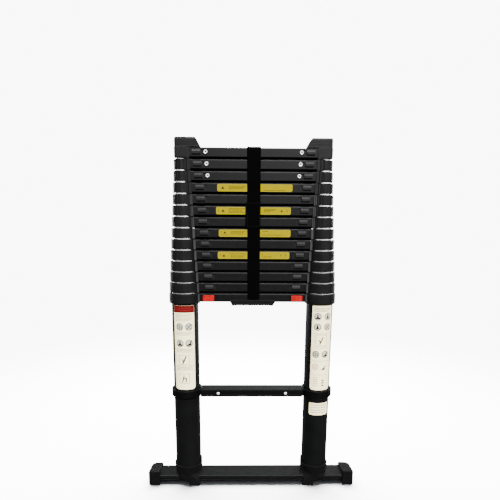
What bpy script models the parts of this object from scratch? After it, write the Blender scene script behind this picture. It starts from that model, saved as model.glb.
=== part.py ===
"""A telescoping ladder, standing collapsed on its stabiliser bar.

Two long base tubes carry a base rung, a fixed middle rung and the stabiliser bar. Thirteen sliding
sections, each a rung on two tubes, nest inside them. Every section's tubes end in its own rung's
collars, and run down through the collars and tubes of the sections beneath. A strap over the top
rung holds the stack shut, and a carry handle hangs under the base rung.

Metres, +Z up, front towards -Y. The origin is on the floor, midway between the tubes.
"""
import math

import bmesh
import bpy

# Driving dimensions
SECTIONS = 13
PITCH = 0.0313
RUNG_SPACING = 0.300
TRAVEL = RUNG_SPACING - PITCH
TUBE_X = 0.2024
BASE_RUNG_TOP = 0.6150
GAP = 0.0003

# Tubes
TUBE_SIDES = 20
BASE_TUBE_RADIUS = 0.0397
TUBE_STEP = 0.00175
TUBE_WALL = 0.0013
TUBE_LENGTH = 0.380
TUBE_LIP = 0.0015
BORE_CLEARANCE = 0.0004

# Rungs with their collars
COLLAR_SIDES = 24
COLLAR_HEIGHT = 0.0252
COLLAR_MARGIN_BASE = 0.0066
COLLAR_MARGIN_TOP = 0.0035
BASE_COLLAR_HEIGHT = 0.0305
BASE_COLLAR_CHAMFER = 0.0035
STACK_GAP = 0.0006
SKIRT_GAP = 0.0028
SKIRT_GAP_STEP = 0.0001
BLOCK_HALF_DEPTH = 0.0240
BLOCK_START = 0.1662
BLOCK_START_STEP = 0.0022
RUNG_END = 0.1555
RUNG_HALF_DEPTH = 0.0215
RUNG_WALL = 0.0020
RUNG_TOP_WALL = 0.0030
RUNG_EDGE = 0.0015
RUNG_SET_DOWN = 0.0006
RIB_HALF_WIDTH = 0.0020
TOP_BLOCK_END = 0.2210

# Thumb slides and release buttons
SLIDE_TRAVEL = 0.008
SLIDE_SECTIONS = (11, 12, 13)
SLIDE_SIZE = (0.0235, 0.0125)
SLIDE_CENTRE_TOP = 0.1590
SLIDE_CENTRE_STEP = 0.002625
BUTTON_SIZE = (0.0330, 0.0166)
BUTTON_CENTRE = 0.1301
BUTTON_DROP = 0.01425
SLIDE_FRONT = 0.0258
PLATE_FRONT = 0.0189
PLATE_BACK = 0.0169
PLATE_REACH = 0.0065

# Fixed middle rung
MIDDLE_TOP = 0.3175
MIDDLE_COLLAR_HEIGHT = 0.0270
MIDDLE_COLLAR_RADIUS = 0.0465
MIDDLE_COLLAR_CHAMFER = 0.0045
MIDDLE_RUNG_TOP = 0.3156
MIDDLE_RUNG_HEIGHT = 0.0230
MIDDLE_HALF_DEPTH = 0.0226

# Stabiliser bar, its end caps and the boots that hold the tubes
BAR_HALF_LENGTH = 0.3050
BAR_HALF_DEPTH = 0.0320
BAR_BOTTOM = 0.0106
BAR_TOP = 0.0300
BAR_WALL = 0.0018
BAR_EDGE = 0.0015
CAP_OUTER = 0.3262
CAP_INNER = 0.2915
CAP_FRONT = 0.0385
CAP_BACK = 0.0345
CAP_FRONT_HEIGHT = 0.0470
CAP_BACK_HEIGHT = 0.0390
CAP_CORNER = 0.0250
CAP_CORNER_STEPS = 6
BOOT_RADIUS = 0.0434
BOOT_TOP = 0.0655
BOOT_FLOOR = 0.0327
BOOT_TONGUE_TOP = 0.0817
BOOT_HALF_DEPTH = 0.0410
BOOT_FOOT = (0.1630, 0.1980)
BOOT_CHAMFER = 0.0020
BOOT_SHOULDER = 0.0055
BOOT_SHOULDER_REACH = (0.0395, 0.0360)
BOOT_LIP = 0.0060
BOOT_LIP_REACH = 0.0300
TONGUE_HALF_WIDTH = 0.0120
TONGUE_FOOT = 0.0100
TONGUE_OVERLAP = 0.0020

# Carry handle, strap and top caps
HANDLE_TOP = 0.5956
HANDLE_BOTTOM = 0.5780
HANDLE_HALF_TOP = 0.0675
HANDLE_HALF_BOTTOM = 0.0600
HANDLE_HALF_DEPTH = 0.0239
HANDLE_EDGE = 0.0050
STRAP_HALF_WIDTH = 0.0190
STRAP_THICKNESS = 0.0016
STRAP_INNER = 0.0219
STRAP_TAIL = 0.5960
STRAP_BEND = 0.0020
TOP_CAP_HEIGHT = 0.0262
TOP_CAP_INNER = (0.1460, 0.1600)
TOP_CAP_HALF_DEPTH = 0.0225
TOP_CAP_CORNER = 0.0045
TOP_CAP_CORNER_STEPS = 3
PLUG_RADIUS = 0.0151
PLUG_DEPTH = 0.0140

SIDES = (("left", -1), ("right", 1))


def clear_scene():
    for thing in list(bpy.data.objects):
        bpy.data.objects.remove(thing)


def make_material(name, colour, roughness, metallic=0.0):
    material = bpy.data.materials.new(name)
    material.use_nodes = True
    shader = material.node_tree.nodes["Principled BSDF"]
    shader.inputs["Base Color"].default_value = (*colour, 1.0)
    shader.inputs["Roughness"].default_value = roughness
    shader.inputs["Metallic"].default_value = metallic
    material.diffuse_color = (*colour, 1.0)
    return material


def make_materials():
    """The colours are linear."""
    return {
        "black_tube": make_material("black_tube", (0.014, 0.014, 0.015), 0.38, 0.6),
        "bare_tube": make_material("bare_tube", (0.72, 0.73, 0.74), 0.30, 1.0),
        "rung": make_material("rung", (0.024, 0.024, 0.026), 0.50),
        "cap": make_material("cap", (0.022, 0.022, 0.023), 0.60),
        "boot": make_material("boot", (0.012, 0.012, 0.012), 0.65),
        "bar": make_material("bar", (0.030, 0.030, 0.031), 0.42, 0.5),
        "button": make_material("button", (0.68, 0.03, 0.03), 0.35),
        "slide": make_material("slide", (0.050, 0.050, 0.052), 0.50),
        "strap": make_material("strap", (0.008, 0.008, 0.009), 0.85),
    }


# Mesh builders

def new_object(name, shape):
    """Turns a bmesh into an object with its faces pointing out."""
    bmesh.ops.recalc_face_normals(shape, faces=shape.faces)
    mesh = bpy.data.meshes.new(name)
    shape.to_mesh(mesh)
    shape.free()
    thing = bpy.data.objects.new(name, mesh)
    bpy.context.scene.collection.objects.link(thing)
    return thing


def ring_of_points(radius, height, centre_x, sides):
    """A level polygon around a tube's axis, with flats facing front, back and sideways."""
    points = []
    for index in range(sides):
        angle = (index + 0.5) * math.tau / sides
        points.append((centre_x + radius * math.cos(angle), radius * math.sin(angle), height))
    return points


def turned(name, profile, centre_x, sides, closed):
    """A turned shape about a vertical axis: a closed profile makes a ring, an open one a solid."""
    shape = bmesh.new()
    rings = []
    for radius, height in profile:
        points = ring_of_points(radius, height, centre_x, sides)
        rings.append([shape.verts.new(point) for point in points])
    pairs = list(zip(rings, rings[1:]))
    if closed:
        pairs.append((rings[-1], rings[0]))
    for low, high in pairs:
        for index in range(sides):
            after = (index + 1) % sides
            shape.faces.new((low[index], low[after], high[after], high[index]))
    if not closed:
        shape.faces.new(rings[0])
        shape.faces.new(rings[-1])
    return new_object(name, shape)


def make_tube(name, radius, wall, low, high, centre_x):
    inner = radius - wall
    profile = [(radius, low), (radius, high), (inner, high), (inner, low)]
    return turned(name, profile, centre_x, TUBE_SIDES, closed=True)


def prism(name, outline, low, high, place):
    """Extrudes an outline from low to high; place turns (u, v, depth) into a point."""
    shape = bmesh.new()
    ends = []
    for depth in (low, high):
        ends.append([shape.verts.new(place(u, v, depth)) for u, v in outline])
    count = len(outline)
    for index in range(count):
        after = (index + 1) % count
        shape.faces.new((ends[0][index], ends[0][after], ends[1][after], ends[1][index]))
    shape.faces.new(ends[0])
    shape.faces.new(ends[1])
    return new_object(name, shape)


def hollow_prism(name, outline, hole, low, high, place):
    """Like prism, with a hole right through that has as many corners as the outline."""
    shape = bmesh.new()
    ends = []
    for depth in (low, high):
        outer = [shape.verts.new(place(u, v, depth)) for u, v in outline]
        inner = [shape.verts.new(place(u, v, depth)) for u, v in hole]
        ends.append((outer, inner))
    count = len(outline)
    for index in range(count):
        after = (index + 1) % count
        for loop in (0, 1):
            first = ends[0][loop]
            last = ends[1][loop]
            shape.faces.new((first[index], first[after], last[after], last[index]))
        for outer, inner in ends:
            shape.faces.new((outer[index], outer[after], inner[after], inner[index]))
    return new_object(name, shape)


def along_x(u, v, depth):
    return (depth, u, v)


def along_y(u, v, depth):
    return (u, depth, v)


def along_z(u, v, depth):
    return (u, v, depth)


def make_box(name, low, high):
    outline = [(low[0], low[1]), (high[0], low[1]), (high[0], high[1]), (low[0], high[1])]
    return prism(name, outline, low[2], high[2], along_z)


def combine(target, other, operation):
    """Joins or cuts the target with another object, which is used up."""
    step = target.modifiers.new(operation.lower(), "BOOLEAN")
    step.operation = operation
    step.object = other
    graph = bpy.context.evaluated_depsgraph_get()
    mesh = bpy.data.meshes.new_from_object(target.evaluated_get(graph))
    target.modifiers.remove(step)
    target.data = mesh
    bpy.data.objects.remove(other)


def join(target, other):
    combine(target, other, "UNION")


def cut(target, other):
    combine(target, other, "DIFFERENCE")


def finish(thing, material, parent=None):
    """Gives a piece its material and its parent, and shades it smooth between its facets."""
    thing.data.materials.clear()
    thing.data.materials.append(material)
    thing.data.shade_smooth()
    thing.data.set_sharp_from_angle(angle=math.radians(30))
    thing.parent = parent
    return thing


def make_joint(name, location, parent=None):
    """An empty that the pieces of one moving body hang on."""
    empty = bpy.data.objects.new(name, None)
    empty.empty_display_size = 0.03
    bpy.context.scene.collection.objects.link(empty)
    empty.location = location
    empty.parent = parent
    return empty


def span(side, inner, outer):
    """The lowest and highest x of a stretch that starts inner and ends outer from the middle."""
    return min(side * inner, side * outer), max(side * inner, side * outer)


# The nest of tubes and collars

def tube_radius(section):
    return BASE_TUBE_RADIUS - TUBE_STEP * section


def collar_radius(section):
    share = section / SECTIONS
    return tube_radius(section) + COLLAR_MARGIN_BASE + (COLLAR_MARGIN_TOP - COLLAR_MARGIN_BASE) * share


def skirt_height(section):
    """How far a sliding section's collars reach down towards the collars beneath."""
    return PITCH - SKIRT_GAP - SKIRT_GAP_STEP * section


def rung_end(section):
    return RUNG_END + TUBE_STEP * section


def rung_outline(height, half_depth, rib_drop):
    """A channel open downwards, with a rib along its middle that drops rib_drop below its edges."""
    top = -RUNG_SET_DOWN
    bottom = -height
    ceiling = top - RUNG_TOP_WALL
    inside = half_depth - RUNG_WALL
    right = [
        (half_depth - RUNG_EDGE, top),
        (half_depth, top - RUNG_EDGE),
        (half_depth, bottom),
        (inside, bottom),
        (inside, ceiling),
        (RIB_HALF_WIDTH, ceiling),
        (RIB_HALF_WIDTH, bottom - rib_drop),
    ]
    return right + [(-u, v) for u, v in reversed(right)]


def cut_bores(rung, radius, low, high):
    for _, side in SIDES:
        profile = [(radius + BORE_CLEARANCE, low), (radius + BORE_CLEARANCE, high)]
        cut(rung, turned("bore", profile, side * TUBE_X, TUBE_SIDES, closed=False))


def cut_slide_windows(rung, centre, size, middle):
    """A window in the front wall on each side, longer than its slide by the slide's travel."""
    half_width = size[0] / 2 + GAP
    half_height = size[1] / 2 + GAP
    for _, side in SIDES:
        low_x, high_x = span(side, centre - half_width - SLIDE_TRAVEL, centre + half_width)
        low = (low_x, -RUNG_HALF_DEPTH - RUNG_WALL, middle - half_height)
        high = (high_x, -RUNG_HALF_DEPTH + 2 * RUNG_WALL, middle + half_height)
        cut(rung, make_box("window", low, high))


def make_section_rung(section):
    """One moving rung: collars, the blocks beside them, and the hollow tread between."""
    name = f"rung_{section:02d}"
    end = rung_end(section)
    drop = PITCH - STACK_GAP
    outline = rung_outline(COLLAR_HEIGHT, RUNG_HALF_DEPTH, drop - COLLAR_HEIGHT)
    rung = prism(name, outline, -end - RUNG_WALL, end + RUNG_WALL, along_x)
    block_start = BLOCK_START + BLOCK_START_STEP * section
    for _, side in SIDES:
        low_x, high_x = span(side, end, block_start)
        low = (low_x, -BLOCK_HALF_DEPTH, -drop)
        high = (high_x, BLOCK_HALF_DEPTH, -GAP)
        join(rung, make_box("block", low, high))
        if section == SECTIONS:
            low_x, high_x = span(side, end + RUNG_WALL, TOP_BLOCK_END)
            low = (low_x, -BLOCK_HALF_DEPTH + GAP, -skirt_height(section))
            high = (high_x, BLOCK_HALF_DEPTH - GAP, 0.0)
            join(rung, make_box("collar", low, high))
        else:
            radius = collar_radius(section)
            profile = [(radius, -skirt_height(section)), (radius, 0.0)]
            join(rung, turned("collar", profile, side * TUBE_X, COLLAR_SIDES, closed=False))
    cut_bores(rung, tube_radius(section), -PITCH, GAP)
    if section in SLIDE_SECTIONS:
        cut_slide_windows(rung, slide_centre(section), SLIDE_SIZE, -COLLAR_HEIGHT / 2)
    return rung


def make_base_rung():
    """The rung on top of the base tubes, whose front holds the two release buttons."""
    end = rung_end(0)
    outline = rung_outline(COLLAR_HEIGHT, RUNG_HALF_DEPTH, 0.0)
    rung = prism("rung_base", outline, -end - RUNG_WALL, end + RUNG_WALL, along_x)
    radius = collar_radius(0)
    for _, side in SIDES:
        low_x, high_x = span(side, end, BLOCK_START)
        low = (low_x, -BLOCK_HALF_DEPTH, -COLLAR_HEIGHT - GAP)
        join(rung, make_box("block", low, (high_x, BLOCK_HALF_DEPTH, -GAP)))
        profile = [
            (radius - BASE_COLLAR_CHAMFER, -BASE_COLLAR_HEIGHT),
            (radius, -BASE_COLLAR_HEIGHT + BASE_COLLAR_CHAMFER),
            (radius, 0.0),
        ]
        join(rung, turned("collar", profile, side * TUBE_X, COLLAR_SIDES, closed=False))
    cut_bores(rung, BASE_TUBE_RADIUS, -PITCH, GAP)
    cut_slide_windows(rung, BUTTON_CENTRE, BUTTON_SIZE, -BUTTON_DROP)
    rung.location.z = BASE_RUNG_TOP
    return rung


def slide_centre(section):
    return SLIDE_CENTRE_TOP - SLIDE_CENTRE_STEP * (SECTIONS - section)


def make_slide(name, size, side):
    """A thumb piece that stands out of its window, on a wider plate behind the rung's wall."""
    half_width = size[0] / 2
    half_height = size[1] / 2
    low = (-half_width, -SLIDE_FRONT, -half_height)
    head = make_box(name, low, (half_width, -PLATE_FRONT + GAP, half_height))
    low_x, high_x = span(side, -half_width - SLIDE_TRAVEL, half_width + PLATE_REACH)
    low = (low_x, -PLATE_FRONT, -half_height - GAP)
    join(head, make_box("plate", low, (high_x, -PLATE_BACK, half_height + GAP)))
    return head


# Fixed pieces of the base

def make_middle_rung():
    outline = rung_outline(MIDDLE_RUNG_HEIGHT, MIDDLE_HALF_DEPTH, 0.0)
    end = TUBE_X - MIDDLE_COLLAR_RADIUS + RUNG_WALL
    lowered = [(u, v + MIDDLE_RUNG_TOP - MIDDLE_TOP) for u, v in outline]
    rung = prism("rung_middle", lowered, -end, end, along_x)
    for _, side in SIDES:
        profile = [
            (MIDDLE_COLLAR_RADIUS - MIDDLE_COLLAR_CHAMFER, -MIDDLE_COLLAR_HEIGHT),
            (MIDDLE_COLLAR_RADIUS, -MIDDLE_COLLAR_HEIGHT + MIDDLE_COLLAR_CHAMFER),
            (MIDDLE_COLLAR_RADIUS, -GAP),
            (MIDDLE_COLLAR_RADIUS - MIDDLE_COLLAR_CHAMFER / 2, 0.0),
        ]
        join(rung, turned("collar", profile, side * TUBE_X, COLLAR_SIDES, closed=False))
    cut_bores(rung, BASE_TUBE_RADIUS, -MIDDLE_COLLAR_HEIGHT - GAP, GAP)
    rung.location.z = MIDDLE_TOP
    return rung


def bar_outline(inset):
    """The bar's rounded rectangle, set in by inset."""
    depth = BAR_HALF_DEPTH - inset
    low = BAR_BOTTOM + inset
    high = BAR_TOP - inset
    edge = BAR_EDGE
    return [
        (-depth + edge, low), (depth - edge, low), (depth, low + edge), (depth, high - edge),
        (depth - edge, high), (-depth + edge, high), (-depth, high - edge), (-depth, low + edge),
    ]


def make_bar():
    outline = bar_outline(0.0)
    hole = bar_outline(BAR_WALL)
    return hollow_prism("stabiliser_bar", outline, hole, -BAR_HALF_LENGTH, BAR_HALF_LENGTH, along_x)


def bar_envelope(name, low_x, high_x):
    """The space that the bar fills, with clearance, to cut out of what holds it."""
    low = (low_x, -BAR_HALF_DEPTH - GAP, BAR_BOTTOM - GAP)
    return make_box(name, low, (high_x, BAR_HALF_DEPTH + GAP, BAR_TOP + GAP))


def make_end_cap(name, side):
    """A cup over the bar's end, with a sole under it, a sloping top and one round corner."""
    outline = [(CAP_INNER, -CAP_FRONT), (CAP_OUTER, -CAP_FRONT)]
    for index in range(CAP_CORNER_STEPS + 1):
        angle = math.pi / 2 * index / CAP_CORNER_STEPS
        u = CAP_OUTER - CAP_CORNER * (1 - math.cos(angle))
        outline.append((u, CAP_BACK - CAP_CORNER * (1 - math.sin(angle))))
    outline.append((CAP_INNER, CAP_BACK))
    sided = [(side * u, v) for u, v in outline]
    cap = prism(name, sided, 0.0, CAP_FRONT_HEIGHT, along_z)
    slope = (CAP_BACK_HEIGHT - CAP_FRONT_HEIGHT) / (CAP_FRONT + CAP_BACK)
    for corner in cap.data.vertices:
        if corner.co.z > 0.0:
            corner.co.z = CAP_FRONT_HEIGHT + slope * (corner.co.y + CAP_FRONT)
    low_x, high_x = span(side, CAP_INNER - GAP * 10, BAR_HALF_LENGTH + GAP)
    cut(cap, bar_envelope("bar_space", low_x, high_x))
    return cap


def make_boot(name, side):
    """The socket that a base tube stands in, on a saddle around the bar with a foot under it."""
    profile = [
        (BOOT_RADIUS - 2 * BOOT_CHAMFER, BAR_TOP - BOOT_CHAMFER),
        (BOOT_RADIUS, BAR_TOP + 3 * BOOT_CHAMFER),
        (BOOT_RADIUS, BOOT_TOP - BOOT_CHAMFER),
        (BOOT_RADIUS - BOOT_CHAMFER / 2, BOOT_TOP),
    ]
    boot = turned(name, profile, side * TUBE_X, COLLAR_SIDES, closed=False)
    shoulder = BAR_TOP + BOOT_SHOULDER
    inner_shoulder, outer_shoulder = BOOT_SHOULDER_REACH
    inner_foot, outer_foot = BOOT_FOOT
    outline = [
        (inner_foot, 0.0),
        (outer_foot, 0.0),
        (outer_foot, BAR_BOTTOM - GAP),
        (TUBE_X + BOOT_LIP_REACH, BAR_TOP - BOOT_LIP),
        (TUBE_X + outer_shoulder, shoulder),
        (TUBE_X - inner_shoulder, shoulder),
        (inner_foot, BAR_BOTTOM + BOOT_LIP),
    ]
    sided = [(side * u, v) for u, v in outline]
    join(boot, prism("saddle", sided, -BOOT_HALF_DEPTH, BOOT_HALF_DEPTH, along_y))
    low_x, high_x = span(side, TUBE_X - BOOT_RADIUS, TUBE_X - BASE_TUBE_RADIUS + TONGUE_OVERLAP)
    low = (low_x, -TONGUE_HALF_WIDTH, BAR_TOP + TONGUE_FOOT)
    join(boot, make_box("tongue", low, (high_x, TONGUE_HALF_WIDTH, BOOT_TONGUE_TOP)))
    socket = [
        (BASE_TUBE_RADIUS + BORE_CLEARANCE, BOOT_FLOOR),
        (BASE_TUBE_RADIUS + BORE_CLEARANCE, BOOT_TONGUE_TOP + GAP),
    ]
    cut(boot, turned("socket", socket, side * TUBE_X, TUBE_SIDES, closed=False))
    cut(boot, bar_envelope("bar_space", *span(side, TUBE_X / 2, CAP_INNER)))
    return boot


def make_handle():
    """A saddle under the base rung, with lips up its front and back, to lift the ladder by."""
    outline = [
        (-HANDLE_HALF_BOTTOM, HANDLE_BOTTOM), (HANDLE_HALF_BOTTOM, HANDLE_BOTTOM),
        (HANDLE_HALF_TOP, HANDLE_TOP - HANDLE_EDGE), (HANDLE_HALF_TOP, HANDLE_TOP),
        (-HANDLE_HALF_TOP, HANDLE_TOP), (-HANDLE_HALF_TOP, HANDLE_TOP - HANDLE_EDGE),
    ]
    handle = prism("carry_handle", outline, -HANDLE_HALF_DEPTH, HANDLE_HALF_DEPTH, along_y)
    clear = RUNG_HALF_DEPTH + GAP
    rung_bottom = BASE_RUNG_TOP - COLLAR_HEIGHT - GAP
    low = (-RUNG_END, -clear, rung_bottom)
    cut(handle, make_box("rung_space", low, (RUNG_END, clear, HANDLE_TOP + GAP)))
    return handle


# Pieces on the top section, placed from the top rung's top

def make_top_cap(name, side):
    """A wedge on the end of the top rung, with a plug down into its tube."""
    inner_low, inner_high = TOP_CAP_INNER
    corner_u = TOP_BLOCK_END - TOP_CAP_CORNER
    corner_v = TOP_CAP_HEIGHT - TOP_CAP_CORNER
    outline = [(inner_low, GAP), (TOP_BLOCK_END, GAP)]
    for index in range(TOP_CAP_CORNER_STEPS + 1):
        angle = math.pi / 2 * index / TOP_CAP_CORNER_STEPS
        point = (corner_u + TOP_CAP_CORNER * math.cos(angle), corner_v + TOP_CAP_CORNER * math.sin(angle))
        outline.append(point)
    outline.append((inner_high, TOP_CAP_HEIGHT))
    sided = [(side * u, v) for u, v in outline]
    cap = prism(name, sided, -TOP_CAP_HALF_DEPTH, TOP_CAP_HALF_DEPTH, along_y)
    profile = [(PLUG_RADIUS, -PLUG_DEPTH), (PLUG_RADIUS, TOP_CAP_HEIGHT / 2)]
    join(cap, turned("plug", profile, side * TUBE_X, TUBE_SIDES, closed=False))
    return cap


def make_strap(top):
    """A flat strap folded over the top rung, whose two tails reach down to the carry handle."""
    tail = STRAP_TAIL - top
    inner = STRAP_INNER
    outer = STRAP_INNER + STRAP_THICKNESS
    crest = GAP + STRAP_THICKNESS
    half = [
        (outer, tail),
        (outer, crest - STRAP_BEND),
        (outer - STRAP_BEND, crest),
    ]
    outline = half + [(-u, v) for u, v in reversed(half)]
    under = [(-inner, tail), (-inner, GAP), (inner, GAP), (inner, tail)]
    return prism("strap", outline + under, -STRAP_HALF_WIDTH, STRAP_HALF_WIDTH, along_x)


def make_base(materials):
    tube_top = BASE_RUNG_TOP - TUBE_LIP
    for word, side in SIDES:
        low = BOOT_FLOOR + GAP
        tube = make_tube(f"base_tube_{word}", BASE_TUBE_RADIUS, TUBE_WALL, low, tube_top, side * TUBE_X)
        finish(tube, materials["black_tube"])
        finish(make_end_cap(f"end_cap_{word}", side), materials["cap"])
        finish(make_boot(f"tube_boot_{word}", side), materials["boot"])
        joint = make_joint(f"button_{word}_slide", (side * BUTTON_CENTRE, 0.0, BASE_RUNG_TOP - BUTTON_DROP))
        button = make_slide(f"release_button_{word}", BUTTON_SIZE, side)
        finish(button, materials["button"], joint)
    finish(make_base_rung(), materials["rung"])
    finish(make_middle_rung(), materials["rung"])
    finish(make_bar(), materials["bar"])
    finish(make_handle(), materials["rung"])


def make_sections(materials):
    """Builds the sliding sections, each on the empty of the one beneath, and returns the last."""
    below = make_joint("base_top", (0.0, 0.0, BASE_RUNG_TOP))
    for section in range(1, SECTIONS + 1):
        joint = make_joint(f"section_{section:02d}_slide", (0.0, 0.0, PITCH), below)
        finish(make_section_rung(section), materials["rung"], joint)
        for word, side in SIDES:
            name = f"tube_{word}_{section:02d}"
            radius = tube_radius(section)
            tube = make_tube(name, radius, TUBE_WALL, -TUBE_LENGTH, -TUBE_LIP, side * TUBE_X)
            finish(tube, materials["bare_tube"], joint)
            if section in SLIDE_SECTIONS:
                place = (side * slide_centre(section), 0.0, -COLLAR_HEIGHT / 2)
                thumb_joint = make_joint(f"thumb_{word}_{section:02d}_slide", place, joint)
                thumb = make_slide(f"thumb_slide_{word}_{section:02d}", SLIDE_SIZE, side)
                finish(thumb, materials["slide"], thumb_joint)
        below = joint
    return below


def main():
    clear_scene()
    materials = make_materials()
    make_base(materials)
    top_joint = make_sections(materials)
    for word, side in SIDES:
        finish(make_top_cap(f"top_cap_{word}", side), materials["cap"], top_joint)
    strap_joint = make_joint("strap_lift", (0.0, 0.0, 0.0), top_joint)
    top = BASE_RUNG_TOP + SECTIONS * PITCH
    finish(make_strap(top), materials["strap"], strap_joint)


main()
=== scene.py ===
"""The looks of a telescoping ladder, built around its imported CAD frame.

The frame gives every place and size: the tubes' radii, the rungs' heights, the feet. Each sliding
section gets its own tread, collars, thumb slides and tubes, which ride on that section's body.

Sizes and places are in millimetres until add_points puts them into a mesh, in metres. +Z is up and
the front faces -Y. The origin is on the floor, midway between the tubes.
"""
import math

import bmesh
import bpy
from mathutils import Matrix, Vector


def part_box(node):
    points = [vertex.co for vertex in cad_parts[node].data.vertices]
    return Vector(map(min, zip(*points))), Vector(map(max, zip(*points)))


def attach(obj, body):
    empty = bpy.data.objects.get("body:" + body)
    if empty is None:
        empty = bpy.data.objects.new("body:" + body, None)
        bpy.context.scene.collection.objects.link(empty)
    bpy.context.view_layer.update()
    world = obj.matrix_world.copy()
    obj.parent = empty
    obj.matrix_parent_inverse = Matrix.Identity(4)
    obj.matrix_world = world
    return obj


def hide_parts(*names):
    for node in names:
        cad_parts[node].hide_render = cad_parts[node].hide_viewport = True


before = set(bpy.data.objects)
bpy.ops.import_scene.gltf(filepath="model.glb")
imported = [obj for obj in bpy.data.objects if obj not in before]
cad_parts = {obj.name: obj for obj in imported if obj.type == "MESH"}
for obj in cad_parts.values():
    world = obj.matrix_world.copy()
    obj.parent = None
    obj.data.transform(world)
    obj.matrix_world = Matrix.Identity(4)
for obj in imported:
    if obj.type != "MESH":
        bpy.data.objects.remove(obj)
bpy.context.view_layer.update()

MM = 0.001
SIDES = (("left", -1), ("right", 1))
SECTIONS = 13
SLIDING_THUMBS = (11, 12, 13)
CAD_TUBE_SIDES = 20
CAD_COLLAR_SIDES = 24


def node_box(node):
    """The lowest and highest corner of a CAD node, in millimetres."""
    low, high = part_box(node)
    return low / MM, high / MM


def rung_node(section):
    return f"rung_{section:02d}" if section else "rung_base"


def tube_node(section, word):
    return f"tube_{word}_{section:02d}" if section else f"base_tube_{word}"


def tube_radius(section):
    low, high = node_box(tube_node(section, "right"))
    return (high.x - low.x) / 2 / math.cos(math.pi / CAD_TUBE_SIDES)


def collar_radius(section):
    return (node_box(rung_node(section))[1].x - TUBE_X) / math.cos(math.pi / CAD_COLLAR_SIDES)


def rung_top(section):
    return node_box(rung_node(section))[1].z


# Sizes that the frame gives: the tubes' distance from the middle, the stack's spacing, a rung's height
TUBE_X = sum(corner.x for corner in node_box("base_tube_right")) / 2
PITCH = rung_top(2) - rung_top(1)
DROP = rung_top(1) - node_box("rung_01")[0].z

# The stack of rungs; a _STEP is what each further section adds to the size beside it. A tread's top
# lies RUNG_SET_DOWN under its collars, and its ceiling RUNG_CEILING under them.
TUBE_WALL = 1.3
RUNG_END, RUNG_END_STEP = 155.5, 1.75
BLOCK_START, BLOCK_START_STEP = 166.2, 2.2
BLOCK_HALF_DEPTH = 24.0
RUNG_HALF_DEPTH = 21.5
RUNG_WALL = 2.0
RUNG_SET_DOWN = 0.6
RUNG_CEILING = 3.6
RUNG_ROUND = 3.0
RIB_HALF_WIDTH = 2.0
RIB_OVERLAP = 0.05
COLLAR_HEIGHT = 25.2
BASE_COLLAR_HEIGHT = 30.5
SKIRT_GAP, SKIRT_GAP_STEP = 2.8, 0.1
GAP = 0.3
TOP_BLOCK_END = 221.0
TOP_CORNER = 6.0
FLUTED_SECTIONS = range(7, 13)
PARTED_STRIPS = range(7, 10)
# Strips outside PLAIN_STRIPS are drawn in a paler plastic, a painted highlight for their lit front faces.
PLAIN_STRIPS = range(10, 14)

# Thumb slides and release buttons; a size is a width and a height
SLIDE_TRAVEL = 8.0
SLIDE_SIZE = (23.5, 12.5)
SLIDE_CENTRE, SLIDE_CENTRE_STEP = 159.0, 2.625
BUTTON_SIZE = (33.0, 16.6)
BUTTON_CENTRE = 130.1
BUTTON_DROP = 14.25
SLIDE_FRONT = 25.8
PLATE_FRONT, PLATE_BACK = 18.9, 16.9
SLIDE_PLATE_REACH, BUTTON_PLATE_REACH = 6.5, 8.6
PLATE_OVERLAP = 1.2
RIVET_CENTRES = {13: 133.3, 12: 131.1, 11: 128.4}

# The middle rung and the boots
MIDDLE_HALF_DEPTH = 22.6
MIDDLE_HEIGHT = 23.0
MIDDLE_COLLAR_RADIUS = 46.5
MIDDLE_SCREW_X = 104.0
BOOT_RADIUS = 43.4
BOOT_FLOOR, BOOT_RIM = 33.0, 65.5

# Edges sharper than this are rounded, and turned solids keep this far from their axis
SHARP = math.radians(32)
AXIS = 0.01


# Building meshes

def add_points(shape, points):
    """Adds a vertex at each point and turns its millimetres into metres."""
    return [shape.verts.new([part * MM for part in point]) for point in points]


def soften(shape, faces, size, segments):
    """Rounds the sharp edges of these faces."""
    bmesh.ops.recalc_face_normals(shape, faces=faces)
    edges = {edge for face in faces for edge in face.edges}
    sharp = [edge for edge in edges if edge.is_manifold and edge.calc_face_angle(0.0) > SHARP]
    bmesh.ops.bevel(
        shape, geom=sharp, offset=size * MM, segments=segments, profile=0.5,
        affect="EDGES", clamp_overlap=True, material=-1,
    )


def add_loft(shape, rings, loop=False, material=0):
    """Joins rings of points that have the same count, and closes the ends unless they loop."""
    made = [add_points(shape, ring) for ring in rings]
    faces = []
    for low, high in zip(made, made[1:] + made[:1] if loop else made[1:]):
        for index in range(len(low)):
            after = (index + 1) % len(low)
            faces.append(shape.faces.new((low[index], low[after], high[after], high[index])))
    if not loop:
        faces += [shape.faces.new(made[0]), shape.faces.new(made[-1])]
    for face in faces:
        face.material_index = material
    return faces


def add_prism(shape, outline, low, high, place, edge=0.0, segments=2, material=0):
    """Extrudes an outline from low to high; place turns (u, v, depth) into a point."""
    rings = [[place(u, v, depth) for u, v in outline] for depth in (low, high)]
    faces = add_loft(shape, rings, material=material)
    if edge:
        soften(shape, faces, edge, segments)


def add_turned(shape, profile, place, sides, loop=False, depth=None, material=0):
    """Turns a profile of (radius, height); depth(angle) is cut out of the points at its widest."""
    widest = max(radius for radius, _ in profile)
    rings = []
    for radius, height in profile:
        ring = []
        for index in range(sides):
            angle = math.tau * index / sides
            reach = radius - (depth(angle) if depth and radius > widest - 0.1 else 0.0)
            ring.append(place(reach * math.cos(angle), reach * math.sin(angle), height))
        rings.append(ring)
    add_loft(shape, rings, loop, material)


def add_stud(shape, place, low, high, sides, material):
    """A short solid about an axis, from one (radius, height) to another."""
    profile = [(AXIS, low[1]), low, high, (AXIS, high[1])]
    add_turned(shape, profile, place, sides, material=material)


# Placing and outlines

def along_x(u, v, depth):
    return (depth, u, v)


def along_y(u, v, depth):
    return (u, depth, v)


def along_z(u, v, depth):
    return (u, v, depth)


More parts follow.
